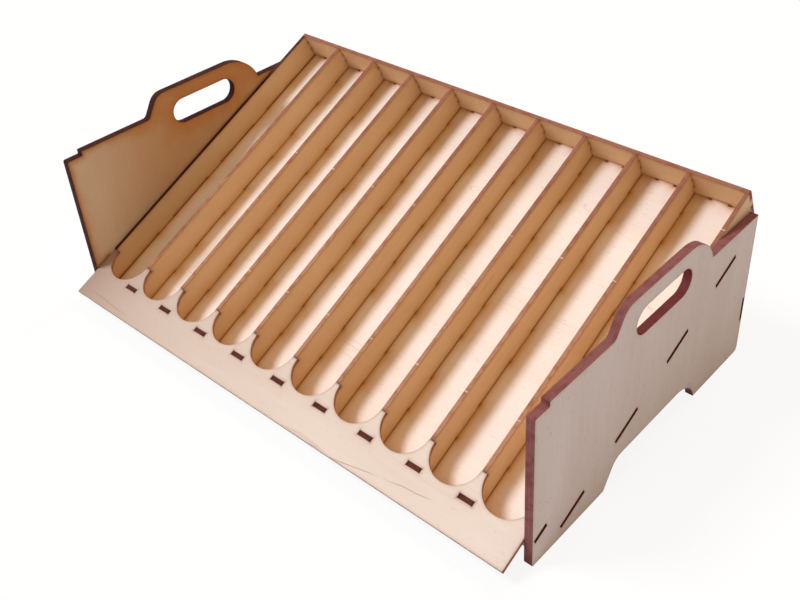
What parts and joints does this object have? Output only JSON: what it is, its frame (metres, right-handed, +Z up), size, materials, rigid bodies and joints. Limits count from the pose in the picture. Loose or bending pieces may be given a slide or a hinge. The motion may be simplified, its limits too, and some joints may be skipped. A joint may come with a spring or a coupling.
{
  "type": "pot rack",
  "caption": "Tilted plywood desk rack: parallel sloping channels for round pots behind a scalloped front plate, between side panels with grip holes, handles and arched feet.",
  "frame": {"origin": "on the table, under the middle of the whole rack", "axes": "+X to the right as seen from the front, +Y to the back, +Z up"},
  "size_m": [0.4366, 0.2742, 0.1393],
  "materials": {
    "side_plywood": "bare 6 mm laser-cut plywood, greyish beige, with charred maroon edges",
    "tray_plywood": "bare 3 mm laser-cut birch plywood, pale cream, with charred maroon edges",
    "plate_plywood": "bare 3 mm laser-cut birch plywood with fine grain along the plate"
  },
  "bodies": {
    "root": {"left_side_panel": "side_plywood", "right_side_panel": "side_plywood", "tray_floor": "tray_plywood", "left_outer_wall": "tray_plywood", "right_outer_wall": "tray_plywood", "back_rail": "tray_plywood", "front_rail": "tray_plywood", "front_plate": "plate_plywood", "rear_brace": "tray_plywood", "divider_1": "tray_plywood", "divider_2": "tray_plywood", "divider_3": "tray_plywood", "divider_4": "tray_plywood", "divider_5": "tray_plywood", "divider_6": "tray_plywood", "divider_7": "tray_plywood", "divider_8": "tray_plywood", "divider_9": "tray_plywood"}
  },
  "joints": []
}
